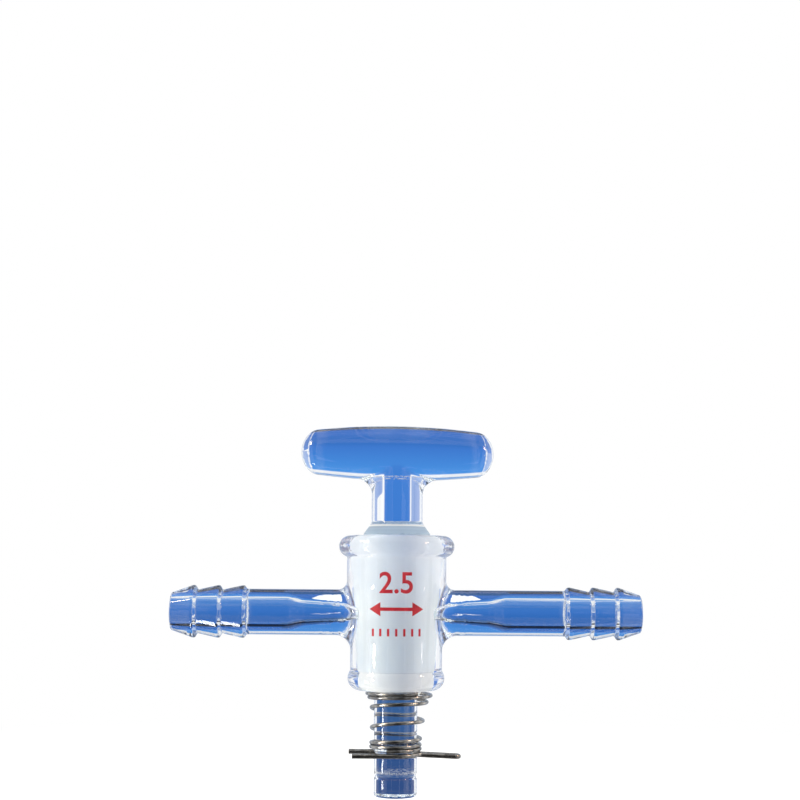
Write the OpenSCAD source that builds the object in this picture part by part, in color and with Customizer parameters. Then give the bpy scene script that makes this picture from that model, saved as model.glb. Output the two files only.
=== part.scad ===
// All-glass stopcock: a solid ground key turns in a ground barrel between two barbed hose arms,
// and a coil spring behind a wire clip holds the key down in its seat.
// Origin: where the arms' axis crosses the key's axis. +Z runs up the key to its handle, +X along the arms.

/* [Ground joint] */
// Diameter of the seat at the barrel's mouth
seat_mouth_d = 14.5; // [13:0.1:18]
// Fall in the seat's diameter for each millimetre of depth
seat_taper = 0.1; // [0.06:0.01:0.12]
// Gap between the ground faces, on the radius
seat_gap = 0.03; // [0.01:0.01:0.08]
// Bore of the way through the key, and of the port on each side of it
way_d = 2.5; // [1.5:0.1:4]

/* [Barrel] */
// Height of the barrel's mouth over the arms' axis
barrel_rise = 16.9; // [15:0.1:22]
// Depth of the barrel's foot under the arms' axis
barrel_drop = 16.9; // [15:0.1:22]
// Wall above the arms, taken at the mouth
upper_wall = 3.75; // [3:0.05:6]
// Wall below the arms, taken at the foot
lower_wall = 4.55; // [3.5:0.05:6]
// How far the mouth bead stands out from the wall
bead_out = 1.8; // [0.8:0.1:2.4]
// Height of the mouth bead
bead_h = 4.7; // [3:0.1:6]
// How far the foot bead stands out from the wall
foot_out = 0.55; // [0.2:0.05:1.5]
// Height of the foot bead
foot_h = 5.2; // [4:0.1:6]

/* [Arms] */
// Outside diameter of the arms
arm_d = 10; // [8:0.1:12]
// Bore of the arms
arm_bore_d = 5.6; // [4:0.1:6.5]
// Distance from the key's axis at which the bore reaches its full width
bore_full_x = 24.4; // [20:0.1:28]
// Length over which the bore is drawn in from its full width to the throat
bore_shoulder = 5; // [3:0.1:7]
// Bore at the throat, from where it tapers to the port
throat_d = 4; // [3:0.1:4]
// Reach of the left arm from the key's axis
left_reach = 49.9; // [44:0.1:70]
// Reach of the right arm from the key's axis
right_reach = 54.1; // [44:0.1:70]
// Fillet of the arm's weld to the barrel, over the arm
weld_over = 2; // [1:0.1:3]
// Fillet of the arm's weld to the barrel, under the arm
weld_under = 3.4; // [1:0.1:4]

/* [Hose barbs] */
// Number of barbs on each arm
barb_count = 3; // [2:1:4]
// Distance from one barb's crest to the next
barb_pitch = 5.45; // [4:0.05:6.5]
// Length from the arm's tip to the first crest
barb_lead = 5.1; // [3:0.1:6.5]
// How far a crest stands out from the arm
barb_rise = 0.77; // [0.4:0.01:1.2]
// How far the waist between two barbs is drawn in
barb_waist = 0.2; // [0:0.05:0.5]
// Length of the level land on each crest
barb_land = 0.5; // [0.3:0.05:0.8]
// Length of a barb's steep back
barb_back = 1; // [0.5:0.1:1.6]
// Diameter of the arm's tip
tip_d = 8.6; // [7.5:0.1:9.4]
// Rounding of the arm's tip
tip_round = 0.6; // [0.2:0.1:1]

/* [Key] */
// Length of the ground cone that shows under the barrel's foot
cone_proud = 0.6; // [0.3:0.1:1]
// Diameter of the shoulder over the barrel's mouth
shoulder_d = 15; // [14.6:0.1:18]
// Gap between the shoulder and the mouth
shoulder_gap = 0.15; // [0.1:0.05:0.5]
// Height of the shoulder
shoulder_h = 2.9; // [2:0.1:4]
// Height of the shoulder's straight edge
shoulder_edge = 0.15; // [0.1:0.05:0.5]
// Diameter of the neck
neck_d = 11.3; // [9:0.1:12]
// Height of the handle's axis over the barrel's mouth
handle_rise = 18.4; // [15:0.1:26]
// Step from the cone's small end in to the stem, on the radius
stem_step = 0.75; // [0.4:0.05:1]
// Length of stem left under the clip's centre
stem_tail = 9.1; // [7:0.1:12]
// Rounding of the stem's end
stem_round = 0.6; // [0.2:0.1:1]
// Distance from the clip's centre down to the spare groove
spare_groove_drop = 4.67; // [3.5:0.05:6]
// Width of the spare groove
spare_groove_w = 0.9; // [0.6:0.1:2]
// Depth of the spare groove
spare_groove_depth = 0.25; // [0.1:0.05:0.4]

/* [Handle] */
// Length of the handle
handle_length = 43; // [34:0.1:60]
// How much thicker than the neck the handle is at its middle
handle_swell = 0.9; // [0.2:0.1:3]
// Diameter of the handle where its round ends begin
handle_end_d = 10.1; // [8:0.05:11]
// Length of each round end
handle_dome = 3.6; // [2:0.1:5]
// Fillet between neck and handle
handle_fillet = 3.3; // [2:0.1:4]
// Slope of the hand-set handle, left end up, in degrees
handle_tilt = 0.7; // [0:0.1:2]

/* [Spring] */
// Diameter of the spring's wire
spring_wire_d = 0.84; // [0.6:0.02:1]
// Length of the fitted spring, from the barrel's foot to the clip
spring_length = 13.3; // [12:0.05:18]
// Turns of wire from end to end
spring_turns = 6.15; // [5.5:0.05:7.5]
// Turn at which the coil begins to open
open_from = 1.75; // [1:0.25:2]
// Turns over which the coil is open
open_turns = 3; // [2.5:0.25:3.5]
// Gap between the stem and the close turns, on the radius
spring_gap = 0.2; // [0.15:0.05:0.4]
// Gap between the cone's small end and the wide top turn, on the radius
top_turn_gap = 1.03; // [0.9:0.01:1.3]
// Turn at which the coil begins to widen
widen_from = 2; // [1.5:0.25:2.5]
// Turns of full width at the top
top_turns = 0.85; // [0.75:0.05:1]
// How far the coil's top stands to the right of the key's axis
spring_top_offset = 0.7; // [0:0.1:0.8]
// Slope of the open turns, right side down
spring_slope = 0.065; // [0:0.005:0.08]
// Slope of the open turns, front side up
spring_front_slope = 0.1; // [0:0.005:0.12]

/* [Clip] */
// Diameter of the clip's wire
clip_wire_d = 1.1; // [0.8:0.05:1.4]
// Depth of the clip's groove in the stem
clip_groove_depth = 0.48; // [0.3:0.01:0.6]
// Gap between the clip's wire and its groove, all round
clip_gap = 0.04; // [0.02:0.01:0.08]
// Reach of the clip's open legs to the left of the key's axis
clip_leg_reach = 10.4; // [8:0.1:14]
// How much shorter the clip's front leg is cut
clip_leg_trim = 1; // [0:0.1:2]
// Reach of the clip's closed nose to the right of the key's axis
clip_nose_reach = 14.4; // [12:0.1:18]
// Bend radius of the nose, to the middle of the wire
nose_bend_r = 0.85; // [0.75:0.05:1.5]
// Bend radius where a leg leaves the stem for the nose
waist_bend_r = 1.5; // [1:0.1:2.5]
// How far the nose droops at its tip
nose_droop = 0.4; // [0:0.05:1]

/* [Hidden] */

round_fn = 96;
wire_sides = 10;
turn_steps = 24;
weld_steps = 32;
weld_arc_steps = 5;
weld_sink = 0.04;
weld_root = 1;
arc_steps = 10;
small_arc_steps = 5;
groove_fn = 48;
body_steps = 12;
dome_steps = 8;
shoulder_steps = 6;
cut_over = 1;
glass = [0.80, 0.88, 0.95, 0.55];
steel = [0.62, 0.61, 0.58];

// Seat and cone
function seat_r(z) = seat_mouth_d / 2 - (barrel_rise - z) * seat_taper / 2;
function cone_r(z) = seat_r(z) - seat_gap;
foot_seat_r = seat_r(-barrel_drop);
upper_r = seat_mouth_d / 2 + upper_wall;
lower_r = foot_seat_r + lower_wall;

// Key
cone_end_z = -barrel_drop - cone_proud;
stem_r = cone_r(cone_end_z) - stem_step;
neck_r = neck_d / 2;
shoulder_z = barrel_rise + shoulder_gap;
// Where the shoulder's flank eases in to the neck, as shares of its width and height
flank_share = [0.15, 0.8];
handle_z = barrel_rise + handle_rise;
handle_mid_r = (neck_d + handle_swell) / 2;
dome_x = handle_length / 2 - handle_dome;
// Radius of the handle at a distance x from its middle
function handle_r(x) = mix(handle_mid_r, handle_end_d / 2, pow(x / dome_x, 2));

// Clip and spring
clip_z = -barrel_drop - spring_length - clip_wire_d / 2;
clip_groove_r = clip_wire_d / 2 + clip_gap;
clip_turn_r = stem_r - clip_groove_depth + clip_groove_r;
stem_end_z = clip_z - stem_tail;
spring_bottom_z = clip_z + (clip_wire_d + spring_wire_d) / 2;
spring_rise = spring_length - spring_wire_d;
spring_open_rise = spring_rise - spring_wire_d * spring_turns;
close_r = stem_r + spring_gap + spring_wire_d / 2;
top_turn_r = foot_seat_r + top_turn_gap + spring_wire_d / 2;
spring_start_angle = -110;

function mix(a, b, t) = a + (b - a) * t;
function clamp01(t) = min(1, max(0, t));
function ease(t) = t * t * (3 - 2 * t);
function unit(v) = v / norm(v);
// Points on an arc of radius r about c, from angle a0 to a1
function arc(c, r, a0, a1, n = arc_steps) =
    [for (i = [0:n]) c + r * [cos(mix(a0, a1, i / n)), sin(mix(a0, a1, i / n))]];

// A round wire swept along a path of points
module wire(path, d) {
    last = len(path) - 1;
    rings = [
        for (i = [0:last])
            let (
                along = unit(path[min(i + 1, last)] - path[max(i - 1, 0)]),
                side = unit(cross(along, [0, 0, 1])),
                up = cross(side, along)
            )
            for (k = [0:wire_sides - 1])
                path[i] + d / 2 * (cos(k * 360 / wire_sides) * side + sin(k * 360 / wire_sides) * up)
    ];
    skin = [
        for (i = [0:last - 1], k = [0:wire_sides - 1])
            let (
                here = i * wire_sides + k,
                next = i * wire_sides + (k + 1) % wire_sides
            )
            each [[here, next, next + wire_sides], [here, next + wire_sides, here + wire_sides]]
    ];
    start_cap = [for (k = [0:wire_sides - 1]) wire_sides - 1 - k];
    end_cap = [for (k = [0:wire_sides - 1]) last * wire_sides + k];
    polyhedron(points = rings, faces = concat([start_cap], skin, [end_cap]));
}

// The rolled fillet where a branch along +X meets a main tube along Z. Its radius, and the main
// tube's, go from their upper value on top of the branch to their lower value under it.
module weld(branch_r, main_over_r, main_under_r, fillet_over, fillet_under) {
    b = branch_r - weld_sink;
    function share(a) = (1 + cos(a)) / 2;
    function fillet(a) = mix(fillet_under, fillet_over, share(a));
    function main_r(a) = mix(main_under_r, main_over_r, share(a)) - weld_sink;
    function ball(a) =
        let (
            y = (b + fillet(a)) * sin(a),
            z = (b + fillet(a)) * cos(a)
        )
        [sqrt(pow(main_r(a) + fillet(a), 2) - y * y), y, z];
    function to_branch(a) = [0, -sin(a), -cos(a)];
    function to_main(a) = unit([-ball(a)[0], -ball(a)[1], 0]);
    function rolled(a, t) =
        let (w = acos(to_branch(a) * to_main(a)))
        ball(a) + fillet(a) * (sin((1 - t) * w) * to_branch(a) + sin(t * w) * to_main(a)) / sin(w);
    function sunk(p) = [p[0], p[1], 0] * (1 - weld_root / norm([p[0], p[1]])) + [0, 0, p[2]];
    outer_x = max(main_over_r + fillet_over, main_under_r + fillet_under) + weld_sink;
    turns = [for (k = [0:weld_steps - 1]) -k * 360 / weld_steps];
    rings = concat(
        [for (a = turns) [outer_x, b * sin(a), b * cos(a)]],
        [for (i = [0:weld_arc_steps], a = turns) rolled(a, i / weld_arc_steps)],
        [for (a = turns) sunk(rolled(a, 1))]
    );
    count = weld_arc_steps + 3;
    outer_hub = len(rings);
    inner_hub = outer_hub + 1;
    hubs = [[outer_x, 0, 0], [min(main_over_r, main_under_r) - weld_root, 0, 0]];
    skin = [
        for (i = [0:count - 2], k = [0:weld_steps - 1])
            let (
                here = i * weld_steps + k,
                next = i * weld_steps + (k + 1) % weld_steps
            )
            each [[here, next, next + weld_steps], [here, next + weld_steps, here + weld_steps]]
    ];
    caps = [
        for (k = [0:weld_steps - 1])
            let (
                next = (k + 1) % weld_steps,
                inner = (count - 1) * weld_steps
            )
            each [[outer_hub, next, k], [inner_hub, inner + k, inner + next]]
    ];
    polyhedron(points = concat(rings, hubs), faces = concat(skin, caps));
}

// Half section of the barrel's outside, before the seat is ground
module barrel_section() {
    bead_r = bead_h / 2;
    bead_c = [upper_r + bead_out - bead_r, barrel_rise - bead_r];
    foot_r = lower_r + foot_out;
    half_foot = foot_h / 2;
    foot_c = [foot_r - half_foot, half_foot - barrel_drop];
    draw_z = arm_d / 2 + weld_over;
    polygon(concat(
        [[0, barrel_rise]],
        arc(bead_c, bead_r, 90, -acos(1 - bead_out / bead_r), 2 * arc_steps),
        [for (i = [0:arc_steps])
            [mix(upper_r, lower_r, ease(i / arc_steps)), mix(draw_z, -draw_z, i / arc_steps)]],
        arc(foot_c, half_foot, acos(1 - foot_out / half_foot), -90, 2 * arc_steps),
        [[0, -barrel_drop]]
    ));
}

// One arm, along +X from the key's axis to its barbed tip
module arm(reach) {
    arm_r = arm_d / 2;
    crest_r = arm_r + barb_rise;
    waist_r = arm_r - barb_waist;
    tip_r = tip_d / 2;
    tip_c = [tip_r - tip_round, reach - tip_round];
    rotate([0, 90, 0])
        rotate_extrude($fn = round_fn)
            polygon(concat(
                [[0, 0], [arm_r, 0]],
                [for (k = [barb_count - 1:-1:0])
                    let (crest = reach - barb_lead - k * barb_pitch)
                    each [
                        [k == barb_count - 1 ? arm_r : waist_r, crest - barb_land / 2 - barb_back],
                        [crest_r, crest - barb_land / 2],
                        [crest_r, crest + barb_land / 2]
                    ]],
                arc(tip_c, tip_round, 0, 90, small_arc_steps),
                [[0, reach]]
            ));
}

// The flow way through one arm: the arm's bore, drawn in to the throat and tapering to the port in the seat
module arm_way(reach) {
    throat_x = bore_full_x - bore_shoulder;
    rotate([0, 90, 0])
        rotate_extrude($fn = round_fn)
            polygon(concat(
                [[0, 0], [way_d / 2, 0], [way_d / 2, seat_mouth_d / 2]],
                [for (i = [0:shoulder_steps])
                    [mix(throat_d, arm_bore_d, ease(i / shoulder_steps)) / 2,
                     mix(throat_x, bore_full_x, i / shoulder_steps)]],
                [[arm_bore_d / 2, reach + cut_over], [0, reach + cut_over]]
            ));
}

module barrel() {
    color(glass)
    difference() {
        union() {
            rotate_extrude($fn = round_fn) barrel_section();
            arm(right_reach);
            rotate([0, 0, 180]) arm(left_reach);
            for (turn = [0, 180])
                rotate([0, 0, turn])
                    weld(arm_d / 2, upper_r, lower_r, weld_over, weld_under);
        }
        translate([0, 0, -barrel_drop - cut_over])
            cylinder(
                r1 = seat_r(-barrel_drop - cut_over),
                r2 = seat_r(barrel_rise + cut_over),
                h = barrel_rise + barrel_drop + 2 * cut_over,
                $fn = round_fn
            );
        arm_way(right_reach);
        rotate([0, 0, 180]) arm_way(left_reach);
    }
}

// Half section of the key, from the stem's end up through cone and shoulder to the neck
module key_section() {
    end_c = [stem_r - stem_round, stem_end_z + stem_round];
    neck_foot_z = shoulder_z + shoulder_h;
    polygon(concat(
        [[0, stem_end_z]],
        arc(end_c, stem_round, -90, 0, small_arc_steps),
        [
            [stem_r, cone_end_z - stem_step],
            [cone_r(cone_end_z), cone_end_z],
            [cone_r(shoulder_z), shoulder_z],
            [shoulder_d / 2, shoulder_z + shoulder_edge],
            [mix(neck_r, shoulder_d / 2, flank_share[0]), mix(shoulder_z, neck_foot_z, flank_share[1])],
            [neck_r, neck_foot_z],
            [neck_r, handle_z],
            [0, handle_z]
        ]
    ));
}

// The handle, swelling to its middle and closed by round ends
module handle() {
    // Points from a round end's pole to the body, on the side given
    function dome(side) = [
        for (i = [0:dome_steps])
            let (
                a = 90 * i / dome_steps,
                x = dome_x + handle_dome * cos(a)
            )
            [handle_r(x) * sin(a), side * x]
    ];
    left_dome = dome(-1);
    right_dome = dome(1);
    rotate([0, 90 + handle_tilt, 0])
        rotate_extrude($fn = round_fn)
            polygon(concat(
                left_dome,
                [for (i = [1 - body_steps:body_steps - 1])
                    let (x = dome_x * i / body_steps) [handle_r(x), x]],
                [for (i = [dome_steps:-1:0]) right_dome[i]]
            ));
}

module plug() {
    groove_r = spare_groove_depth / 2 + spare_groove_w * spare_groove_w / (8 * spare_groove_depth);
    saddle_r = handle_r(neck_r + handle_fillet / 2);
    color(glass)
    difference() {
        union() {
            rotate_extrude($fn = round_fn) key_section();
            translate([0, 0, handle_z]) handle();
            translate([0, 0, handle_z])
                rotate([0, 90, 0])
                    weld(neck_r, saddle_r, saddle_r, handle_fillet, handle_fillet);
        }
        rotate([0, 90, 0])
            cylinder(d = way_d, h = seat_mouth_d, center = true, $fn = round_fn);
        translate([0, 0, clip_z])
            rotate_extrude($fn = round_fn)
                translate([clip_turn_r, 0]) circle(r = clip_groove_r, $fn = groove_fn);
        translate([0, 0, clip_z - spare_groove_drop])
            rotate_extrude($fn = round_fn)
                translate([stem_r - spare_groove_depth + groove_r, 0]) circle(r = groove_r, $fn = groove_fn);
    }
}

// Right-handed coil: close turns on the clip, open turns, then a wide turn against the barrel's foot
module spring() {
    function opened(t) = clamp01((t - open_from) / open_turns);
    widen_turns = spring_turns - widen_from - top_turns;
    function coil_r(t) = mix(close_r, top_turn_r, pow(clamp01((t - widen_from) / widen_turns), 2));
    function coil_z(t) = spring_bottom_z + spring_wire_d * t + spring_open_rise * ease(opened(t));
    function coil(t) =
        let (
            angle = spring_start_angle + 360 * t,
            dx = coil_r(t) * cos(angle),
            dy = coil_r(t) * sin(angle)
        )
        [
            dx + spring_top_offset * ease(opened(t)),
            dy,
            coil_z(t) - (spring_slope * dx + spring_front_slope * dy) * sin(180 * opened(t))
        ];
    steps = ceil(spring_turns * turn_steps);
    color(steel)
        wire([for (i = [0:steps]) coil(spring_turns * i / steps)], spring_wire_d);
}

// Keyhole of wire: two straight legs, a bend round each side of the stem's groove, and a narrow nose
module retaining_clip() {
    waist_x = sqrt(pow(clip_turn_r + waist_bend_r, 2) - pow(nose_bend_r + waist_bend_r, 2));
    leave_angle = atan2(nose_bend_r + waist_bend_r, waist_x);
    nose_x = clip_nose_reach - clip_wire_d / 2 - nose_bend_r;
    half = concat(
        [[-clip_turn_r, clip_turn_r]],
        arc([0, 0], clip_turn_r, 90, leave_angle),
        arc([waist_x, nose_bend_r + waist_bend_r], waist_bend_r, leave_angle - 180, -90, small_arc_steps),
        arc([nose_x, 0], nose_bend_r, 90, 0, small_arc_steps)
    );
    last = len(half) - 1;
    outline = concat(
        [[-clip_leg_reach, clip_turn_r]],
        half,
        [for (i = [last - 1:-1:0]) [half[i][0], -half[i][1]]],
        [[clip_leg_trim - clip_leg_reach, -clip_turn_r]]
    );
    function droop(x) = nose_droop * clamp01((x - clip_turn_r) / (clip_nose_reach - clip_turn_r));
    color(steel)
        wire([for (p = outline) [p[0], p[1], clip_z - droop(p[0])]], clip_wire_d);
}

barrel();
plug();
spring();
retaining_clip();
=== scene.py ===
import math

import bmesh
import bpy
import numpy as np
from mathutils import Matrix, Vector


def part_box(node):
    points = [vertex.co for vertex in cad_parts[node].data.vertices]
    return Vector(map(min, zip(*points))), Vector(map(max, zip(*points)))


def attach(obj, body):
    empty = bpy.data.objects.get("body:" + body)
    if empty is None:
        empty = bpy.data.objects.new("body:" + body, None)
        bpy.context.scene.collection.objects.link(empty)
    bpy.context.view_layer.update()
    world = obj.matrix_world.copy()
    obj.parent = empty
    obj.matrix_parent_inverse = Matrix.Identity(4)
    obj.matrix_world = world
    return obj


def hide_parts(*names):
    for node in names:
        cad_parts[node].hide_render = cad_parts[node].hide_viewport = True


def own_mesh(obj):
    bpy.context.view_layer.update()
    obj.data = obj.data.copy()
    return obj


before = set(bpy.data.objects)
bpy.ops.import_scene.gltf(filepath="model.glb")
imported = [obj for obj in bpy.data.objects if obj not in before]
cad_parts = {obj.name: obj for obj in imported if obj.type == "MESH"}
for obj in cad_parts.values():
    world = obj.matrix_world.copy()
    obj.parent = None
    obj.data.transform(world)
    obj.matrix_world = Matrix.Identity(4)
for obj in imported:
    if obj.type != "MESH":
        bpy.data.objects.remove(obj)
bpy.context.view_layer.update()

mm = 0.001
barrelLow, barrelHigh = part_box("barrel")
plugLow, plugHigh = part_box("plug")
mouthZ, footZ = barrelHigh.z / mm, barrelLow.z / mm


def addObject(name, data):
    thing = bpy.data.objects.new(name, data)
    bpy.context.scene.collection.objects.link(thing)
    return thing


# Node networks: a wired value takes part in sums, and every other node comes from Net.add

class Wire:
    def __init__(self, net, socket):
        self.net = net
        self.socket = socket

    def out(self, name):  # another output of the same node
        return Wire(self.net, self.socket.node.outputs[name])

    def math(self, operation, *values):
        return self.net.add("ShaderNodeMath", {"operation": operation}, *values)

    def __add__(self, other):
        return self.math("ADD", self, other)

    def __radd__(self, other):
        return self.math("ADD", other, self)

    def __sub__(self, other):
        return self.math("SUBTRACT", self, other)

    def __rsub__(self, other):
        return self.math("SUBTRACT", other, self)

    def __mul__(self, other):
        return self.math("MULTIPLY", self, other)

    def __rmul__(self, other):
        return self.math("MULTIPLY", other, self)

    def __truediv__(self, other):
        return self.math("DIVIDE", self, other)

    def __abs__(self):
        return self.math("ABSOLUTE", self)

    def larger(self, other):
        return self.math("MAXIMUM", self, other)

    def sine(self):
        return self.math("SINE", self)

    def cosine(self):
        return self.math("COSINE", self)

    def root(self):
        return self.math("SQRT", self)

    def step(self, low, high):  # eases from 0 at low to 1 at high
        return self.net.add("ShaderNodeMapRange", {"interpolation_type": "SMOOTHSTEP"}, self, low, high)

    def clamped(self):
        return self.net.add("ShaderNodeClamp", {}, self, 0.0, 1.0)


class Net:
    def __init__(self, tree):
        self.tree = tree
        tree.nodes.clear()

    def add(self, kind, settings, *values, **named):
        node = self.tree.nodes.new(kind)
        for name, value in settings.items():
            if name == "stops":
                fillRamp(node.color_ramp, value)
            else:
                setattr(node, name, value)
        inputs = dict(enumerate(values))
        inputs.update({name.replace("_", " "): value for name, value in named.items()})
        for key, value in inputs.items():
            if isinstance(value, Wire):
                self.tree.links.new(value.socket, node.inputs[key])
            else:
                node.inputs[key].default_value = value
        if not node.outputs:
            return node
        return Wire(self, next(socket for socket in node.outputs if socket.enabled))


def fillRamp(ramp, stops):
    while len(ramp.elements) < len(stops):
        ramp.elements.new(1)
    for element, (level, colour) in zip(ramp.elements, stops):
        element.position = level
        element.color = colour


def newMaterial(name):
    material = bpy.data.materials.new(name)
    material.use_nodes = True
    return material, Net(material.node_tree)


def place(net):  # a point's place in millimetres along each axis, and its distance from the key's axis
    spot = net.add("ShaderNodeTexCoord", {}).out("Object")
    parts = net.add("ShaderNodeSeparateXYZ", {}, spot)
    x, y, z = (parts.out(name) / mm for name in "XYZ")
    return spot, x, y, z, (x * x + y * y).root()


def noise(net, spot, scale, detail):
    return net.add("ShaderNodeTexNoise", {}, Vector=spot, Scale=scale, Detail=detail)


def mixShaders(net, factor, first, second):
    return net.add("ShaderNodeMixShader", {}, factor, first, second)


def mixColours(net, factor, first, second):  # the colours' sockets have names that numbers share
    blend = net.add("ShaderNodeMix", {"data_type": "RGBA"}, factor).socket.node
    blend.inputs[6].default_value = first
    blend.inputs[7].default_value = second
    return Wire(net, blend.outputs[2])


# Shapes as signed distances in millimetres, skinned with an even net of faces

def smoothStep(t):
    t = np.clip(t, 0, 1)
    return t * t * (3 - 2 * t)


def blendUnion(a, b, soft):  # union with a soft inside corner
    h = np.clip(soft - np.abs(a - b), 0, None) / soft
    return np.minimum(a, b) - h * h * soft / 4


# Union with a rolled fillet of radius r, where lean is the cosine between the two slopes
def roundUnion(a, b, r, lean):
    u, v, lean = r - a, r - b, np.minimum(lean, 0.99)
    rolled = r - np.sqrt(np.maximum(u * u + v * v - 2 * u * v * lean, 0) / (1 - lean * lean))
    corner = (u > 0) & (v > 0) & (u > lean * v) & (v > lean * u)
    return np.where(corner, rolled, np.minimum(a, b))


def cutAway(a, b, soft):  # a without b, with a softened edge
    return -blendUnion(-a, b, soft)


def section(u, v, points):  # distance to a closed outline, negative inside
    best = np.full(u.shape, np.inf, u.dtype)
    inside = np.zeros(u.shape, bool)
    for (au, av), (bu, bv) in zip(points, points[1:] + points[:1]):
        eu, ev = bu - au, bv - av
        wu, wv = u - au, v - av
        t = np.clip((wu * eu + wv * ev) / (eu * eu + ev * ev), 0, 1)
        best = np.minimum(best, (wu - eu * t) ** 2 + (wv - ev * t) ** 2)
        if ev:
            inside ^= ((av <= v) != (bv <= v)) & (wu < eu / ev * wv)
    return np.where(inside, -1, 1) * np.sqrt(best)


def disc(r, z, outer, middle, half):  # a disc with a fully round rim
    return np.hypot(np.maximum(r - (outer - half), 0), z - middle) - half


def arcPoints(middle, radius, start, end, count):
    turns = [math.radians(start + (end - start) * k / count) for k in range(count + 1)]
    return [(middle[0] + radius * math.cos(a), middle[1] + radius * math.sin(a)) for a in turns]


skinSet = {"margin": 1.0, "passes": 3, "reach": 0.01}


def skinShape(shape, low, high, cell, name):
    low = [v / mm - skinSet["margin"] for v in low]
    high = [v / mm + skinSet["margin"] for v in high]
    counts = np.ceil((np.array(high) - low) / cell).astype(int) + 1
    axes = [low[k] + cell * np.arange(counts[k], dtype=np.float32) for k in range(3)]
    field = shape(*np.meshgrid(*axes, indexing="ij")).astype(np.float32)
    cells, spots, quads = [], [], []
    for axis in range(3):  # one face for each edge of the grid that crosses the surface
        near = field[tuple(slice(0, -1) if k == axis else slice(None) for k in range(3))]
        far = field[tuple(slice(1, None) if k == axis else slice(None) for k in range(3))]
        edges = np.argwhere((near < 0) != (far < 0))
        picked = tuple(edges.T)
        crossing = edges.astype(float)
        crossing[:, axis] += near[picked] / (near[picked] - far[picked])
        ring = []
        for back1, back2 in ((0, 0), (1, 0), (1, 1), (0, 1)):
            corner = edges.copy()
            corner[:, (axis + 1) % 3] -= back1
            corner[:, (axis + 2) % 3] -= back2
            ring.append(np.ravel_multi_index(tuple(corner.T), counts))
        cells += ring
        spots += [crossing] * 4
        quad = np.stack(ring, axis=1)
        turned = near[picked] >= 0
        quad[turned] = quad[turned][:, ::-1]
        quads.append(quad)
    used, index = np.unique(np.concatenate(cells), return_inverse=True)
    spots = np.concatenate(spots)
    number = np.bincount(index)
    points = np.stack([np.bincount(index, spots[:, k]) / number for k in range(3)], axis=1)
    points = points * cell + np.array(low)
    faces = np.searchsorted(used, np.concatenate(quads))

    def slope(p):
        reach = skinSet["reach"]
        moves = np.eye(3) * reach
        return np.stack([(shape(*(p + m).T) - shape(*(p - m).T)) / (2 * reach) for m in moves], axis=1)

    for _ in range(skinSet["passes"]):  # the net's points are drawn on to the true surface
        rise = slope(points)
        pull = np.clip(shape(*points.T) / (rise ** 2).sum(1), -cell, cell)
        points = points - pull[:, None] * rise
    normals = slope(points)
    normals /= np.linalg.norm(normals, axis=1)[:, None]
    mesh = bpy.data.meshes.new(name)
    mesh.from_pydata(points * mm, [], faces.tolist())
    mesh.shade_smooth()
    mesh.normals_split_custom_set_from_vertices(normals.tolist())
    print("skinned", name, len(points), "points")
    return addObject(name, mesh)


# Barrel with its arms, in millimetres

barrelSet = {
    "mouthRadius": 7.25, "taper": 0.1,  # the ground seat
    "upperRadius": 11.0, "lowerWall": 4.55,
    "beadOut": 1.8, "beadHeight": 4.7, "beadBlend": 0.25,
    "footOut": 0.55, "footHeight": 5.2, "footBlend": 0.12,
    "armRadius": 5.0, "boreRadius": 2.8, "boreFullAt": 24.4, "boreShoulder": 5.0,
    "throatRadius": 2.0, "wayRadius": 1.25,
    "filletOver": 2.0, "filletUnder": 3.4,
    "barbs": 3, "barbPitch": 5.45, "barbLead": 5.1, "barbRise": 0.77, "barbWaist": 0.2,
    "barbLand": 0.5, "barbBack": 0.6,
    "tipRadius": 4.3, "tipRound": 0.6, "polish": 0.25, "cell": 0.3,
}
roundSteps = 5  # of a small round in an outline


def seatRadius(z):
    return barrelSet["mouthRadius"] - (mouthZ - z) * barrelSet["taper"] / 2


footRadius = seatRadius(footZ) + barrelSet["lowerWall"]


def wallRadius(z):
    s = barrelSet
    draw = s["armRadius"] + s["filletOver"]
    return s["upperRadius"] + (footRadius - s["upperRadius"]) * smoothStep((draw - z) / (2 * draw))


def boreRadius(along):
    s = barrelSet
    throatAt = s["boreFullAt"] - s["boreShoulder"]
    drawn = smoothStep((along - throatAt) / s["boreShoulder"])
    port = np.clip((throatAt - along) / (throatAt - s["mouthRadius"]), 0, 1)
    widened = s["throatRadius"] + (s["boreRadius"] - s["throatRadius"]) * drawn
    return widened - (s["throatRadius"] - s["wayRadius"]) * port


def armOutline(reach):
    s = barrelSet
    crest, waist = s["armRadius"] + s["barbRise"], s["armRadius"] - s["barbWaist"]
    outline = [(0, -crest), (0, s["armRadius"])]
    for k in range(s["barbs"] - 1, -1, -1):
        middle = reach - s["barbLead"] - k * s["barbPitch"]
        foot = s["armRadius"] if k == s["barbs"] - 1 else waist
        outline.append((middle - s["barbLand"] / 2 - s["barbBack"], foot))
        outline.append((middle - s["barbLand"] / 2, crest))
        outline.append((middle + s["barbLand"] / 2, crest))
    tip = (reach - s["tipRound"], s["tipRadius"] - s["tipRound"])
    return outline + arcPoints(tip, s["tipRound"], 90, 0, roundSteps) + [(reach, -crest)]


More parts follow.
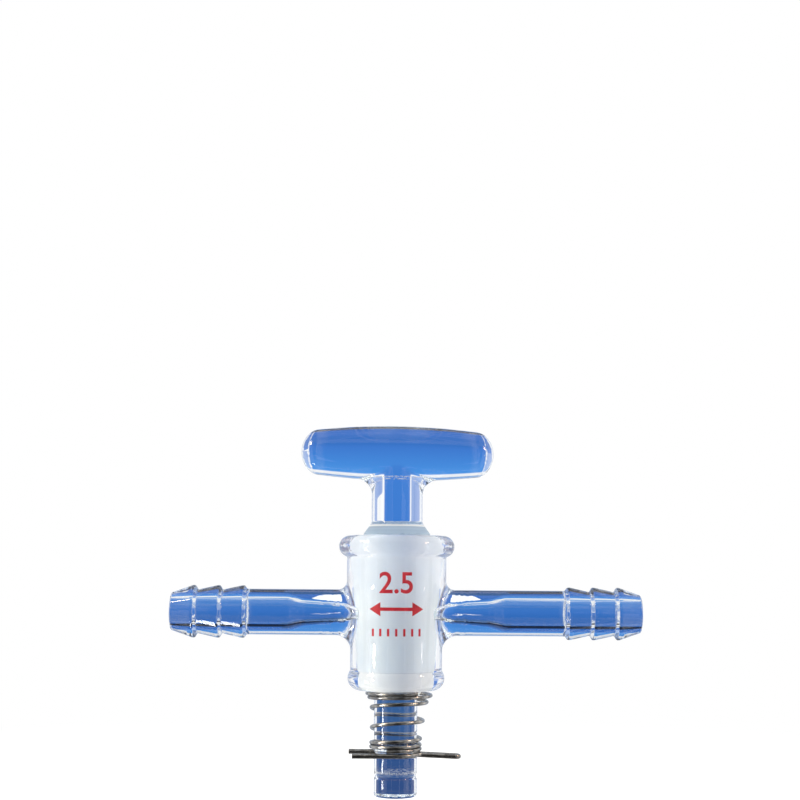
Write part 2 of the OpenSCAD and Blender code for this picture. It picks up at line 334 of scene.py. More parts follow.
def barrelShape(x, y, z):
    s = barrelSet
    r, across, along = np.hypot(x, y), np.hypot(y, z), np.abs(x)
    beadHalf, footHalf = s["beadHeight"] / 2, s["footHeight"] / 2
    ends = np.abs(z - (mouthZ + footZ) / 2) - (mouthZ - footZ) / 2 + beadHalf
    wall = np.maximum(r - wallRadius(z), ends)
    bead = disc(r, z, s["upperRadius"] + s["beadOut"], mouthZ - beadHalf, beadHalf)
    foot = disc(r, z, footRadius + s["footOut"], footZ + footHalf, footHalf)
    body = blendUnion(blendUnion(wall, bead, s["beadBlend"]), foot, s["footBlend"])
    rightArm = section(along, across, armOutline(barrelHigh.x / mm))
    leftArm = section(along, across, armOutline(-barrelLow.x / mm))
    over = (1 + z / np.maximum(across, 0.01)) / 2
    fillet = s["filletUnder"] + (s["filletOver"] - s["filletUnder"]) * over
    lean = y * y / np.maximum(r * across, 1)
    glass = roundUnion(body, np.where(x > 0, rightArm, leftArm), fillet, lean)
    bore = across - boreRadius(along)
    seat = (r - seatRadius(z)) * math.cos(math.atan(s["taper"] / 2))
    return cutAway(cutAway(glass, bore, s["polish"]), seat, s["polish"])


# Key: handle, neck, shoulder, ground cone and stem in one piece of solid glass, in millimetres

keySet = {
    "seatGap": 0.03, "coneProud": 0.6,
    "shoulderRadius": 7.5, "shoulderGap": 0.15, "shoulderHeight": 2.9, "shoulderFlank": (0.15, 0.8),
    "neckRadius": 5.65, "stemStep": 0.75, "stemRound": 0.6,
    "handleRise": 18.4, "handleLength": 43.0, "handleRadius": 6.1, "handleEndRadius": 5.05,
    "handleDome": 3.6, "handleFillet": 3.3, "handleTilt": 0.7,
    "clipZ": -30.75, "clipGrooveRadius": 0.59, "clipGrooveDepth": 0.48,
    "spareDrop": 4.67, "spareWidth": 0.9, "spareDepth": 0.25,
    "wayRadius": 1.25, "polish": 0.2, "cell": 0.26,
}
shoulderZ = mouthZ + keySet["shoulderGap"]
neckFootZ = shoulderZ + keySet["shoulderHeight"]
handleZ = mouthZ + keySet["handleRise"]
coneEndZ = footZ - keySet["coneProud"]
stemRadius = seatRadius(coneEndZ) - keySet["seatGap"] - keySet["stemStep"]
clipTurnRadius = stemRadius - keySet["clipGrooveDepth"] + keySet["clipGrooveRadius"]


def shaftOutline():
    s = keySet
    stemEnd = plugLow.z / mm
    inner = -4  # past the axis, so that the outline is closed inside the glass
    flankOut, flankUp = s["shoulderFlank"]
    rim = (stemRadius - s["stemRound"], stemEnd + s["stemRound"])
    flankRadius = s["neckRadius"] + (s["shoulderRadius"] - s["neckRadius"]) * flankOut
    return [(inner, stemEnd)] + arcPoints(rim, s["stemRound"], -90, 0, roundSteps) + [
        (stemRadius, coneEndZ - s["stemStep"]),
        (seatRadius(coneEndZ) - s["seatGap"], coneEndZ),
        (seatRadius(shoulderZ) - s["seatGap"], shoulderZ),
        (s["shoulderRadius"], shoulderZ + s["shoulderGap"]),
        (flankRadius, shoulderZ + s["shoulderHeight"] * flankUp),
        (s["neckRadius"], neckFootZ),
        (s["neckRadius"], handleZ),
        (inner, handleZ),
    ]


def keyShape(x, y, z):
    s = keySet
    r = np.hypot(x, y)
    shaft = section(r, z, shaftOutline())
    tilt = math.radians(s["handleTilt"])
    up = z - handleZ
    along = np.abs(x * math.cos(tilt) - up * math.sin(tilt))
    across = np.hypot(y, x * math.sin(tilt) + up * math.cos(tilt))
    domeX = s["handleLength"] / 2 - s["handleDome"]
    swell = s["handleRadius"] - (s["handleRadius"] - s["handleEndRadius"]) * (along / domeX) ** 2
    end = np.hypot(np.maximum(along - domeX, 0) / s["handleDome"], across / np.maximum(swell, 1)) - 1
    handle = end * np.where(along > domeX, s["handleDome"], swell)
    glass = roundUnion(shaft, handle, s["handleFillet"], y * y / np.maximum(r * across, 1))
    glass = cutAway(glass, np.hypot(y, z) - s["wayRadius"], s["polish"])
    clipGroove = np.hypot(r - clipTurnRadius, z - s["clipZ"]) - s["clipGrooveRadius"]
    glass = cutAway(glass, clipGroove, s["polish"])
    spare = s["spareDepth"] / 2 + s["spareWidth"] ** 2 / (8 * s["spareDepth"])  # radius of the groove's arc
    spareX, spareZ = r - stemRadius + s["spareDepth"] - spare, z - s["clipZ"] + s["spareDrop"]
    return cutAway(glass, np.hypot(spareX, spareZ) - spare, s["polish"])


barrelPiece = skinShape(barrelShape, barrelLow, barrelHigh, barrelSet["cell"], "barrelGlass")
keyPiece = skinShape(keyShape, plugLow, plugHigh, keySet["cell"], "keyGlass")


# Glass: clear and fire-polished, or ground to a milky face where two pieces seal; the milky face's colour
# holds painted light and shade by height

glassSet = {
    # the arms' tint is darker than the body's: painted shade on the arms
    "bodyTint": (0.975, 0.985, 0.99, 1), "armShadeTint": (0.89, 0.915, 0.93, 1), "armFrom": (11, 14),
    "keyTint": (0.965, 0.985, 1.0, 1), "shadowTint": (0.9, 0.93, 0.95, 1),
    "ior": 1.473, "polished": 0.012, "ground": 0.5, "groundSpread": 0.15, "patchScale": 420.0,
    "wave": 0.05, "waveDepth": 0.0006, "waveScale": 160.0, "wrinkle": 12.0, "wrinkleScale": 700.0,
    "grain": 0.25, "grainDepth": 0.0001, "grainScale": 5200.0,
    "ringShare": 0.5, "ringScale": 5.0, "ringLean": 0.3,  # turning marks of the grinding
    "milkRough": 0.7, "milkShare": 0.75, "milkThrough": 0.45,
    "milkWithPaintedLight": (  # colour of the ground faces by height in millimetres, with painted light and shade: lighter at the foot as painted light from below, a painted shade line at the foot's crease, painted highlight lines on the bead, a blue cast as painted light from behind, and a darker banded shoulder as painted shade
        (-17.4, (0.84, 0.87, 0.87)), (-13.9, (0.84, 0.87, 0.87)), (-13.6, (0.57, 0.62, 0.65)),
        (-13.2, (0.78, 0.84, 0.865)), (0, (0.78, 0.84, 0.865)), (11.9, (0.82, 0.88, 0.92)),
        (12.15, (0.92, 0.94, 0.94)), (12.4, (0.82, 0.88, 0.92)), (15.8, (0.82, 0.88, 0.92)),
        (16.3, (0.87, 0.91, 0.94)), (16.8, (0.80, 0.86, 0.90)), (17.2, (0.40, 0.53, 0.64)),
        (18.1, (0.33, 0.45, 0.57)), (18.3, (0.40, 0.52, 0.63)), (18.85, (0.33, 0.45, 0.57)),
        (19.0, (0.95, 0.94, 0.88))),
}
maskSet = {  # where ground and wrinkled glass start and where they are full, in millimetres
    "seat": (0.08, 0.2),
    "weldFrom": (9, 11), "weldTo": (13, 18), "weldOver": (7, 10),
    "beadRadius": (11.4, 12.2), "beadHeight": (11, 12.5),
    "edge": (-0.3, -0.1), "shoulderEdge": (-0.75, -0.6),
    "bandRise": 0.4, "bandEdge": (0.2, 0.6),
    "seamDrop": 5.45, "seamEdge": (0, 0.25), "seamRadius": (6.6, 7.2),
    "specks": 0.8, "speckScale": 4200.0, "speckEdge": (0.35, 0.65),
    "dome": (18, 19.5), "domeShare": 0.7,
}


def glassFinish(name, tint, groundMask, wrinkleMask, armShadeTint=None):
    s = glassSet
    material, net = newMaterial(name)
    spot, x, y, z, r = place(net)
    # the arms' darker tint is painted shade
    if armShadeTint:
        tint = mixColours(net, abs(x).step(*s["armFrom"]), tint, armShadeTint)
    waves = noise(net, spot, s["waveScale"], 2.0)
    wrinkles = noise(net, spot, s["wrinkleScale"], 2.0)
    height = waves + s["wrinkle"] * wrinkles * wrinkleMask(net, spot, x, z, r)
    ripple = net.add("ShaderNodeBump", {}, Strength=s["wave"], Distance=s["waveDepth"], Height=height)
    clear = net.add("ShaderNodeBsdfPrincipled", {}, Base_Color=tint, Roughness=s["polished"], IOR=s["ior"],
                    Transmission_Weight=1.0, Normal=ripple)
    grains = noise(net, spot, s["grainScale"], 3.0)
    rings = net.add("ShaderNodeTexNoise", {"noise_dimensions": "1D"}, W=z + r * s["ringLean"],
                    Scale=s["ringScale"], Detail=4.0)
    grit = net.add("ShaderNodeBump", {}, Strength=s["grain"], Distance=s["grainDepth"],
                   Height=grains + rings * s["ringShare"])
    patches = noise(net, spot, s["patchScale"], 3.0)
    rough = net.add("ShaderNodeBsdfPrincipled", {}, Base_Color=tint,
                    Roughness=s["ground"] + patches * s["groundSpread"],
                    IOR=s["ior"], Transmission_Weight=1.0, Normal=grit)
    # the ground faces' colour by height, which carries painted light and shade
    low, high = s["milkWithPaintedLight"][0][0], s["milkWithPaintedLight"][-1][0]
    stops = [((level - low) / (high - low), (*colour, 1)) for level, colour in s["milkWithPaintedLight"]]
    tone = net.add("ShaderNodeValToRGB", {"stops": stops}, (z - low) / (high - low))
    milkWithPaintedLight = net.add("ShaderNodeBsdfPrincipled", {}, Base_Color=tone, Roughness=s["milkRough"],
                   Specular_IOR_Level=0.0, Normal=grit)
    glow = net.add("ShaderNodeBsdfTranslucent", {}, tone)
    frost = mixShaders(net, s["milkShare"], rough, mixShaders(net, s["milkThrough"], milkWithPaintedLight, glow))
    glass = mixShaders(net, groundMask(net, spot, x, z, r), clear, frost)
    shadow = net.add("ShaderNodeLightPath", {}).out("Is Shadow Ray")
    thin = net.add("ShaderNodeBsdfTransparent", {}, s["shadowTint"])
    net.add("ShaderNodeOutputMaterial", {}, mixShaders(net, shadow, glass, thin))
    return material


def seatMask(net, spot, x, z, r):
    return 1 - (r - seatRadius(z)).step(*maskSet["seat"])


def weldMask(net, spot, x, z, r):  # where the arms were welded on, and round the mouth bead
    m = maskSet
    weld = abs(x).step(*m["weldFrom"]) * (1 - abs(x).step(*m["weldTo"])) * (1 - abs(z).step(*m["weldOver"]))
    return (weld + r.step(*m["beadRadius"]) * z.step(*m["beadHeight"])).clamped()


def zone(z, low, lowEdge, high, highEdge):  # 1 between two heights, eased over an edge at each
    start = z.step(low + lowEdge[0], low + lowEdge[1])
    return start * (1 - z.step(high + highEdge[0], high + highEdge[1]))


def coneMask(net, spot, x, z, r):  # cone and shoulder, and specks over the spare groove and under the handle
    m = maskSet
    cone = zone(z, coneEndZ, m["edge"], neckFootZ, m["shoulderEdge"])
    bandZ = keySet["clipZ"] - keySet["spareDrop"] + keySet["spareWidth"] / 2 + m["bandRise"]
    band = zone(z, bandZ, m["edge"], bandZ, m["bandEdge"])
    seamZ = handleZ - m["seamDrop"]
    seam = zone(z, seamZ, m["edge"], seamZ, m["seamEdge"]) * (1 - r.step(*m["seamRadius"]))
    specks = noise(net, spot, m["speckScale"], 2.0).step(*m["speckEdge"])
    return (cone + (m["specks"] * band + m["specks"] * seam) * specks).clamped()


def domeMask(net, spot, x, z, r):  # the handle's round ends
    return abs(x).step(*maskSet["dome"]) * maskSet["domeShare"]


barrelPiece.data.materials.append(
    glassFinish("barrelGlass", glassSet["bodyTint"], seatMask, weldMask, glassSet["armShadeTint"]))
keyPiece.data.materials.append(glassFinish("keyGlass", glassSet["keyTint"], coneMask, domeMask))
for piece, node, body, slotName in (
        (barrelPiece, "barrel", "barrel", "barrel_glass"), (keyPiece, "plug", "plug", "key_glass")):
    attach(piece, body)
    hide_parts(node)
print("glass done")


# Wire pieces, grown by geometry nodes along their path

def grow(name, sizes, build, material, start=None):
    tree = bpy.data.node_groups.new(name, "GeometryNodeTree")
    tree.interface.new_socket("Geometry", in_out="OUTPUT", socket_type="NodeSocketGeometry")
    tree.interface.new_socket("Start", in_out="INPUT", socket_type="NodeSocketGeometry")
    sockets = {}
    for key in sizes:
        socket = tree.interface.new_socket(key, in_out="INPUT", socket_type="NodeSocketFloat")
        sockets[key] = socket.identifier
    net = Net(tree)
    given = net.add("NodeGroupInput", {})
    grown = build(net, given.out("Start"), {key: given.out(key) for key in sizes})
    grown = net.add("GeometryNodeRealizeInstances", {}, grown)
    grown = net.add("GeometryNodeSetMaterial", {}, grown, Material=material)
    net.add("NodeGroupOutput", {}, grown)
    seed = addObject(name + ".seed", start or bpy.data.meshes.new(name + ".seed"))
    modifier = seed.modifiers.new("grow", "NODES")
    modifier.node_group = tree
    for key, identifier in sockets.items():
        modifier[identifier] = float(sizes[key])
    seen = seed.evaluated_get(bpy.context.evaluated_depsgraph_get())
    mesh = bpy.data.meshes.new_from_object(seen)
    mesh.name = name
    bpy.data.objects.remove(seed)
    print("grown", name, len(mesh.polygons), "faces")
    return addObject(name, mesh)


def drawWire(net, curve, diameter, sides):  # a round wire that keeps its length for the finish
    length = net.add("GeometryNodeSplineParameter", {}).out("Length")
    curve = net.add("GeometryNodeStoreNamedAttribute", {"data_type": "FLOAT", "domain": "POINT"}, curve,
                    Name="along", Value=length)
    ring = net.add("GeometryNodeCurvePrimitiveCircle", {"mode": "RADIUS"}, Resolution=sides,
                   Radius=diameter / 2)
    wire = net.add("GeometryNodeCurveToMesh", {}, curve, ring, Fill_Caps=True)
    return net.add("GeometryNodeSetShadeSmooth", {}, wire)


steelSet = {
    "lineAlong": 150, "lineAcross": 14, "lineDepth": 0.00004,  # the drawn wire's fine lines
    "patchScale": 700.0, "patchEdge": (0.35, 0.7), "dull": 0.45, "roughSpread": 0.12,
}


def wireFinish(name, colour, rough, drawn):
    s = steelSet
    material, net = newMaterial(name)
    spot, x, y, z, r = place(net)
    along = net.add("ShaderNodeAttribute", {"attribute_name": "along"}).out("Fac")
    streak = net.add("ShaderNodeCombineXYZ", {}, along * s["lineAlong"], x * s["lineAcross"],
                     z * s["lineAcross"])
    lines = noise(net, streak, 1.0, 3.0)
    patches = noise(net, spot, s["patchScale"], 3.0)
    dull = tuple(s["dull"] * c for c in colour)
    shade = mixColours(net, patches.step(*s["patchEdge"]), (*colour, 1), (*dull, 1))
    bump = net.add("ShaderNodeBump", {}, Strength=drawn, Distance=s["lineDepth"], Height=lines)
    steel = net.add("ShaderNodeBsdfPrincipled", {}, Base_Color=shade, Metallic=1.0,
                    Roughness=rough + patches * s["roughSpread"], Normal=bump)
    net.add("ShaderNodeOutputMaterial", {}, steel)
    return material


# Spring: close turns on the clip, open turns, and a wide turn under the barrel's foot

springSet = {
    "wire": 0.84, "length": 13.3, "turns": 6.15, "openFrom": 1.75, "openTurns": 3.0, "widenFrom": 2.0,
    "topTurns": 0.85, "gap": 0.2, "topGap": 1.03, "topOffset": 0.7, "slope": 0.065, "frontSlope": 0.1,
    "startAngle": -110.0, "steps": 420, "sides": 16, "lift": 3.0,
    "colour": (0.42, 0.408, 0.39), "rough": 0.11, "drawn": 0.3,
}


def coil(net, start, given):
    line = net.add("GeometryNodeCurvePrimitiveLine", {"mode": "POINTS"})
    line = net.add("GeometryNodeResampleCurve", {}, line, Count=springSet["steps"])
    turn = net.add("GeometryNodeSplineParameter", {}).out("Factor") * given["turns"]
    opened = ((turn - given["openFrom"]) / given["openTurns"]).clamped()
    eased = opened * opened * (3 - 2 * opened)
    widening = given["turns"] - given["widenFrom"] - given["topTurns"]
    wide = ((turn - given["widenFrom"]) / widening).clamped()
    radius = given["closeRadius"] + (given["topRadius"] - given["closeRadius"]) * wide * wide
    angle = math.radians(springSet["startAngle"]) + math.tau * turn
    right, front = radius * angle.cosine(), radius * angle.sine()
    height = given["bottom"] + given["wire"] * turn + given["openRise"] * eased
    height = height - (given["slope"] * right + given["frontSlope"] * front) * (math.pi * opened).sine()
    right = right + given["topOffset"] * eased
    path = net.add("ShaderNodeCombineXYZ", {}, right * mm, front * mm, height * mm)
    line = net.add("GeometryNodeSetPosition", {}, line, Position=path)
    return drawWire(net, line, given["wire"] * mm, springSet["sides"])


plainSizes = (
    "wire", "turns", "openFrom", "openTurns", "widenFrom", "topTurns", "topOffset", "slope", "frontSlope")
springSizes = {key: springSet[key] for key in plainSizes}
springSizes.update(
    closeRadius=stemRadius + springSet["gap"] + springSet["wire"] / 2,
    topRadius=seatRadius(footZ) + springSet["topGap"] + springSet["wire"] / 2,
    bottom=footZ - springSet["length"] + springSet["wire"] / 2,
    openRise=springSet["length"] - springSet["wire"] * (1 + springSet["turns"]),
)
springSteel = wireFinish("springSteel", springSet["colour"], springSet["rough"], springSet["drawn"])
springPiece = grow("springWire", springSizes, coil, springSteel)
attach(springPiece, "barrel")
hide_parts("spring")
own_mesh(springPiece)


# Clip: one wire round the stem's groove, with two open legs on the left and a nose on the right

clipSet = {
    "wire": 1.1, "legReach": 10.4, "legTrim": 1.0, "noseReach": 14.4, "noseBend": 0.85, "waistBend": 1.5,
    "droop": 0.4, "sides": 20, "stemSteps": 30, "bendSteps": 14,
    "colour": (0.43, 0.415, 0.39), "rough": 0.18, "drawn": 0.35,
}


def clipPath():
    s = clipSet
    bends = s["noseBend"] + s["waistBend"]
    waistX = math.sqrt((clipTurnRadius + s["waistBend"]) ** 2 - bends ** 2)
    leave = math.degrees(math.atan2(bends, waistX))
    noseX = s["noseReach"] - s["wire"] / 2 - s["noseBend"]
    half = arcPoints((0, 0), clipTurnRadius, 90, leave, s["stemSteps"])
    half += arcPoints((waistX, bends), s["waistBend"], leave - 180, -90, s["bendSteps"])[1:]
    half += arcPoints((noseX, 0), s["noseBend"], 90, 0, s["bendSteps"])
    flat = [(-s["legReach"], clipTurnRadius)] + half + [(x, -y) for x, y in reversed(half[:-1])]
    flat.append((s["legTrim"] - s["legReach"], -clipTurnRadius))

    def height(x):  # the nose hangs a little
        fall = (x - clipTurnRadius) / (s["noseReach"] - clipTurnRadius)
        return keySet["clipZ"] - s["droop"] * min(1, max(0, fall))

    return [(x, y, height(x)) for x, y in flat]


def bentWire(net, start, given):
    return drawWire(net, net.add("GeometryNodeMeshToCurve", {}, start), given["wire"] * mm, clipSet["sides"])


clipPoints = clipPath()
clipEdges = [(k, k + 1) for k in range(len(clipPoints) - 1)]
clipLine = bpy.data.meshes.new("clipLine")
clipLine.from_pydata([[v * mm for v in p] for p in clipPoints], clipEdges, [])
clipSteel = wireFinish("clipSteel", clipSet["colour"], clipSet["rough"], clipSet["drawn"])
clipPiece = grow("clipWire", {"wire": clipSet["wire"]}, bentWire, clipSteel, clipLine)
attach(clipPiece, "clip")
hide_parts("retaining_clip")
print("wire pieces done")


# Enamel print on the barrel's front: a bore number, a two-way flow arrow and a row of ticks

markSet = {
    "number": "2.5", "numberSize": 6.4, "bold": 0.09, "numberFoot": 4.4,
    "arrowZ": 0.9, "arrowLength": 12.2, "arrowStroke": 0.75, "headLength": 2.6, "headWidth": 3.0,
    "ticks": 7, "tickPitch": 1.75, "tickLow": -4.9, "tickHeight": 1.6, "tickWidth": 0.5,
    "slice": 0.4, "slices": 20, "thick": 0.04, "sunk": 0.3,
    "wornScale": 900.0, "worn": (0.40, 0.008, 0.020, 1), "fresh": (0.60, 0.020, 0.035, 1),
    "wornEdge": (0.3, 0.7), "rough": 0.3, "roughSpread": 0.2,
}


def numberOutline(form):
    curve = bpy.data.curves.new("number", "FONT")
    curve.body = markSet["number"]
    curve.size = markSet["numberSize"]
    curve.offset = markSet["bold"]
    curve.align_x = "CENTER"
    holder = addObject("number", curve)
    mesh = bpy.data.meshes.new_from_object(holder.evaluated_get(bpy.context.evaluated_depsgraph_get()))
    for vertex in mesh.vertices:
        vertex.co.y += markSet["numberFoot"]
    form.from_mesh(mesh)
    bpy.data.objects.remove(holder)


def fillOutline(form, corners):
    form.faces.new([form.verts.new((x, y, 0)) for x, y in corners])


def enamelFinish():
    s = markSet
    material, net = newMaterial("redEnamel")
    worn = noise(net, place(net)[0], s["wornScale"], 3.0)
    stops = list(zip(s["wornEdge"], (s["worn"], s["fresh"])))
    tone = net.add("ShaderNodeValToRGB", {"stops": stops}, worn)
    enamel = net.add("ShaderNodeBsdfPrincipled", {}, Base_Color=tone,
                     Roughness=s["rough"] + worn * s["roughSpread"])
    net.add("ShaderNodeOutputMaterial", {}, enamel)
    return material


def printMark():
    s = markSet
    form = bmesh.new()
    numberOutline(form)
    half, shaft, head = s["arrowLength"] / 2, s["arrowStroke"] / 2, s["headWidth"] / 2
    neck = half - s["headLength"]
    arrow = [(-neck, -shaft), (neck, -shaft), (neck, -head), (half, 0), (neck, head), (neck, shaft),
             (-neck, shaft), (-neck, head), (-half, 0), (-neck, -head)]
    fillOutline(form, [(x, y + s["arrowZ"]) for x, y in arrow])
    wide, low, high = s["tickWidth"] / 2, s["tickLow"], s["tickLow"] + s["tickHeight"]
    for k in range(s["ticks"]):
        x = (k - (s["ticks"] - 1) / 2) * s["tickPitch"]
        fillOutline(form, [(x - wide, low), (x + wide, low), (x + wide, high), (x - wide, high)])
    bmesh.ops.remove_doubles(form, verts=form.verts, dist=0.001)
    for k in range(-s["slices"], s["slices"] + 1):  # sliced, so that it can follow the barrel's curve
        for side in ((1, 0, 0), (0, 1, 0)):
            cut = [v * k * s["slice"] for v in side]
            everything = form.verts[:] + form.edges[:] + form.faces[:]
            bmesh.ops.bisect_plane(form, geom=everything, plane_co=cut, plane_no=side)
    bmesh.ops.solidify(form, geom=form.faces[:], thickness=s["thick"])
    for vertex in form.verts:  # bent round the wall, with its back sunk in the glass
        across, z, lift = vertex.co
        r = float(wallRadius(z))
        turn = across / r
        proud = 1 - s["sunk"] if abs(lift) < s["thick"] / 2 else -s["sunk"]
        r += s["thick"] * proud
        vertex.co = (r * math.sin(turn) * mm, -r * math.cos(turn) * mm, z * mm)
    bmesh.ops.recalc_face_normals(form, faces=form.faces)
    mesh = bpy.data.meshes.new("flowMark")
    form.to_mesh(mesh)
    form.free()
    mesh.materials.append(enamelFinish())
    return addObject("flowMark", mesh)


markPiece = printMark()
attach(markPiece, "barrel")
print("mark done", len(markPiece.data.polygons), "faces")


# Studio: pale floor, soft boxes, and cards that only glass and metal show

white = (1, 1, 1, 1)
floorSet = {"drop": 0.006, "size": 1.6, "matt": (0.5, 0.5, 0.5, 1), "glow": 0.8, "fade": (90, 260)}
surroundSet = {  # angles in degrees, up from level or round from the middle of a card
    "radius": 0.6,
    "cardHalf": 20.0, "cardOuter": (45.0, 50.0), "fade": 0.72, "sideHalf": 10.0,
    "edge": 0.006, "sideEdge": 0.01,
    "windowRight": (24.0, 38.0), "windowHeights": (3.2, 5.5), "windowEdge": 0.4, "windowLeft": 22.5,
    "leftToRight": (-30, 30),
    "beltHalf": 60.0, "beltTop": (-48, -43),
    "heights": (  # colour of the cards at each height angle
        (-90, (0.35, 0.52, 0.80)), (-78, (0.16, 0.30, 0.60)), (-73, (0.008, 0.014, 0.035)),
        (-48, (0.008, 0.014, 0.035)), (-43, (0.038, 0.16, 0.57)), (-9, (0.036, 0.165, 0.55)),
        (0, (0.052, 0.205, 0.65)), (40, (0.075, 0.31, 0.80)), (43, (0.09, 0.33, 0.82)), (46, (1, 1, 1)),
        (56, (1, 1, 1)), (60, (0.22, 0.42, 0.80)), (90, (0.30, 0.50, 0.85))),
    "glossHeights": (  # brightness of the cards in a plain reflection
        (-90, 0.30), (-66, 0.10), (-62, 0.02), (-40, 0.02), (0, 0.05), (40, 0.08), (46, 1.0), (56, 1.0),
        (62, 0.3), (90, 0.4)),
    "glossTint": (1, 0.97, 0.92), "rim": (0.5, 0.57, 0.68, 1), "rimFrom": (-20, 20), "rimLift": (0.5, 0.65),
}
# a dark card behind the stem, seen only through the glass: painted shade on the stem
stemShadeCardSet = {
    "y": 0.03, "half": 0.028, "top": -0.019, "low": -0.052,
    "upper": (0.040, 0.125, 0.32, 1), "lower": (0.030, 0.055, 0.19, 1),
}
# glowing white cards behind the arms' roots, seen only through the glass: painted light in the arms
lightPatchSet = {
    "outline": ((19.2, 9.8), (17.0, 8.3), (12.2, 8.0), (12.2, 12.2), (16.0, 11.6)), "z": -1.5, "glow": 1.3,
}
lampSet = {  # degrees round and up, then distance, width and height in metres, watts and colour
    "leftLow": (-56, -3.2, 0.5, 0.045, 0.016, 0.22, (1, 0.85, 0.6)),
    "leftHigh": (-73, 36, 0.5, 0.14, 0.1, 0.95, (1, 0.82, 0.6)),
    "rightLow": (67, -3.2, 0.5, 0.015, 0.016, 0.03, (1, 1, 1)),
    "rightHigh": (70, 30, 0.5, 0.06, 0.07, 0.6, (1, 0.64, 0.42)),
    "stemLow": (-70, -30, 0.07, 0.0085, 0.022, 0.013, (1, 1, 1)),
    "rightBack": (106, 10, 0.5, 0.3, 0.4, 0.15, (1, 0.82, 0.64)),
}
ambient = 0.92  # the world's light on things, where 1 is white


# 1 for what the camera, a gloss or the glass shows, 0 for the light that falls on things
def seenDirectly(net):
    path = net.add("ShaderNodeLightPath", {})
    return (path.out("Is Camera Ray") + path.out("Is Glossy Ray") + path.out("Is Transmission Ray")).clamped()


def emit(net, colour, strength=1.0):
    return net.add("ShaderNodeEmission", {}, colour, strength)


def hideFrom(thing, *rays):
    for ray in rays:
        setattr(thing, "visible_" + ray, False)


def sheetPiece(name, corners, faces):
    mesh = bpy.data.meshes.new(name)
    mesh.from_pydata(corners, [], faces)
    piece = addObject(name, mesh)
    return piece


def makeFloor():
    s = floorSet
    h, z = s["size"] / 2, plugLow.z - s["drop"]
    floor = sheetPiece("floor", [(-h, -h, z), (h, -h, z), (h, h, z), (-h, h, z)], [(0, 1, 2, 3)])
    material, net = newMaterial("paleFloor")
    matt = net.add("ShaderNodeBsdfDiffuse", {}, s["matt"])
    near = net.add("ShaderNodeAddShader", {}, matt, emit(net, white, seenDirectly(net) * s["glow"]))
    far = emit(net, white, seenDirectly(net))
    net.add("ShaderNodeOutputMaterial", {}, mixShaders(net, place(net)[4].step(*s["fade"]), near, far))
    floor.data.materials.append(material)
    hideFrom(floor, "transmission", "glossy")


def makeSurround():  # a ball round the scene: blue cards ahead, behind and at the sides, white between them
    s = surroundSet
    mesh = bpy.data.meshes.new("surround")
    form = bmesh.new()
    bmesh.ops.create_icosphere(form, subdivisions=5, radius=s["radius"])
    form.to_mesh(mesh)
    form.free()
    ball = addObject("surround", mesh)
    material, net = newMaterial("cards")
    spot, x, y, z, r = place(net)
    lift = z / (x * x + y * y + z * z).root()
    ahead = abs(y) / r

    def ramp(stops):
        levels = [(math.sin(math.radians(angle)) / 2 + 0.5, (*colour, 1)) for angle, colour in stops]
        return net.add("ShaderNodeValToRGB", {"stops": levels}, lift * 0.5 + 0.5)

    def cut(angle):
        return math.cos(math.radians(angle))

    def rise(low, high):
        return lift.step(math.sin(math.radians(low)), math.sin(math.radians(high)))

    def within(limit):  # 1 nearer to straight ahead or behind than an angle, given by its cosine
        return (ahead - limit).step(-s["edge"], s["edge"])

    base, top = s["windowHeights"]
    above = rise(base - s["windowEdge"], base + s["windowEdge"])
    below = 1 - rise(top - s["windowEdge"], top + s["windowEdge"])
    narrow, wide = (cut(angle) for angle in s["windowRight"])
    leftCut = cut(s["windowLeft"])
    window = narrow + (wide - narrow) * above * below
    window = leftCut + (window - leftCut) * x.step(*s["leftToRight"])
    outerBelow, outerAbove = (cut(angle) for angle in s["cardOuter"])
    outer = within(outerBelow + (outerAbove - outerBelow) * above) * (1 - within(window))
    outer = outer * (1 - (1 - s["fade"]) * above)
    sideCut = cut(s["sideHalf"])
    side = (abs(x) / r).step(sideCut - s["sideEdge"], sideCut + s["sideEdge"])
    belt = (1 - rise(*s["beltTop"])) * within(cut(s["beltHalf"]))
    card = within(cut(s["cardHalf"])).larger(outer).larger(side).larger(belt)
    plain = [(angle, tuple(level * c for c in s["glossTint"])) for angle, level in s["glossHeights"]]
    behind = y.step(*s["rimFrom"]) * (1 - abs(lift).step(*s["rimLift"]))  # keeps the glass's rims pale
    dim = mixShaders(net, behind, emit(net, ramp(plain)), emit(net, s["rim"]))
    path = net.add("ShaderNodeLightPath", {})
    gloss = path.out("Is Glossy Ray") * (1 - path.out("Is Transmission Ray"))
    shown = mixShaders(net, gloss, emit(net, ramp(s["heights"])), dim)
    net.add("ShaderNodeOutputMaterial", {}, mixShaders(net, card, emit(net, white), shown))
    mesh.materials.append(material)
    hideFrom(ball, "camera", "diffuse", "shadow", "volume_scatter")


def finishCard(card, colour, strength=1.0):  # a card that only the glass shows
    material, net = newMaterial(card.name)
    net.add("ShaderNodeOutputMaterial", {}, emit(net, colour(net), strength))
    card.data.materials.append(material)
    hideFrom(card, "camera", "diffuse", "shadow", "volume_scatter", "glossy")


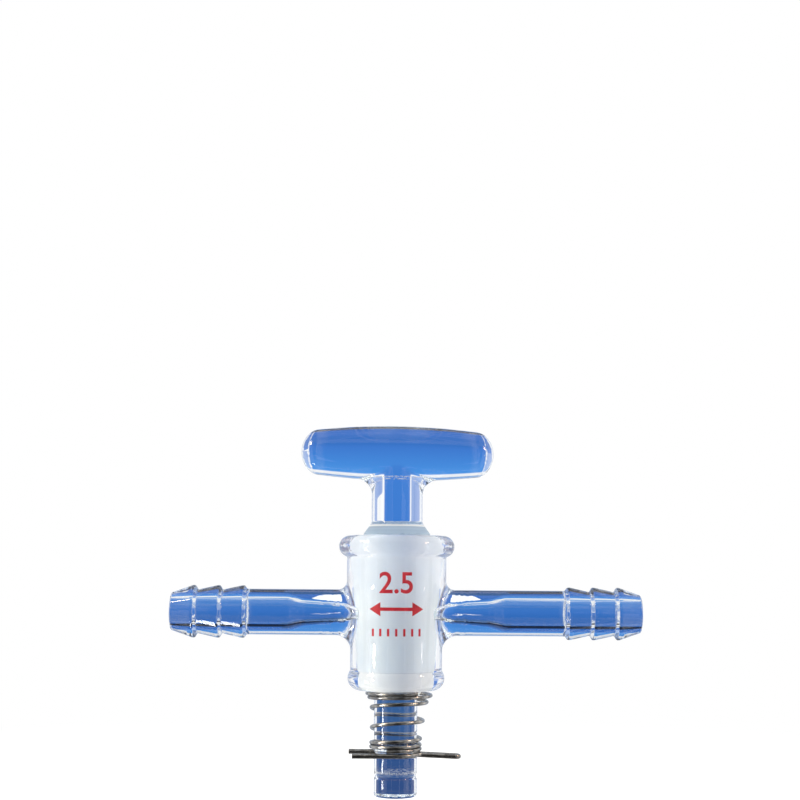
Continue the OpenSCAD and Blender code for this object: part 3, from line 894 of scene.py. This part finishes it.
def makeStemShadeCard():  # a dark blue card close behind the stem, seen only through the glass: painted shade on the stem
    s = stemShadeCardSet
    spots = ((-s["half"], s["low"]), (s["half"], s["low"]), (s["half"], s["top"]), (-s["half"], s["top"]))

    def tone(net):
        height = (place(net)[3] * mm - s["low"]) / (s["top"] - s["low"])
        return net.add("ShaderNodeValToRGB", {"stops": [(0, s["lower"]), (1, s["upper"])]}, height)

    finishCard(sheetPiece("stemShadeCard", [(x, s["y"], z) for x, z in spots], [(0, 1, 2, 3)]), tone)


def makeLightPatches():  # small, white, glowing and level, behind the arms' roots, seen only through the glass: painted light in the arms' roots
    s = lightPatchSet
    corners = [(side * x * mm, y * mm, s["z"] * mm) for side in (-1, 1) for x, y in s["outline"]]
    half = len(s["outline"])
    cards = sheetPiece("patches", corners, [tuple(range(half)), tuple(range(half, 2 * half))])
    finishCard(cards, lambda net: white, s["glow"])


def softBox(name, azimuth, elevation, distance, width, height, power, colour):
    lamp = bpy.data.lights.new(name, "AREA")
    lamp.color = colour
    lamp.shape = "RECTANGLE"
    lamp.size = width
    lamp.size_y = height
    lamp.energy = power
    box = addObject(name, lamp)
    a, e = math.radians(azimuth), math.radians(elevation)
    out, up = distance * math.cos(e), distance * math.sin(e)
    box.location = (out * math.sin(a), -out * math.cos(a), up)
    box.rotation_euler = (math.pi / 2 - e, 0, a)
    hideFrom(box, "transmission", "camera")


makeFloor()
makeSurround()
makeStemShadeCard()
makeLightPatches()
for name, values in lampSet.items():
    softBox(name, *values)

world = bpy.data.worlds.new("studio")
bpy.context.scene.world = world
world.use_nodes = True
sky = Net(world.node_tree)
strength = ambient + (1 - ambient) * seenDirectly(sky)
sky.add("ShaderNodeOutputWorld", {}, sky.add("ShaderNodeBackground", {}, white, strength))
print("studio done")


cameraSet = {
    "place": (0.00047, -0.355, 0.00706), "tiltUp": 6.48, "roll": 0.4,
    "lens": 71.5, "sensor": 36, "near": 0.01,
}
camera = addObject("camera", bpy.data.cameras.new("camera"))
camera.location = cameraSet["place"]
camera.rotation_euler = (math.radians(90 + cameraSet["tiltUp"]), 0, 0)
camera.rotation_euler.rotate_axis("Z", math.radians(cameraSet["roll"]))
camera.data.lens = cameraSet["lens"]
camera.data.sensor_width = cameraSet["sensor"]
camera.data.clip_start = cameraSet["near"]

studio = bpy.context.scene
studio.camera = camera
studio.view_settings.view_transform = "Standard"
studio.cycles.max_bounces = 28
studio.cycles.transmission_bounces = 28
studio.cycles.glossy_bounces = 10
studio.cycles.diffuse_bounces = 4
studio.cycles.transparent_max_bounces = 24
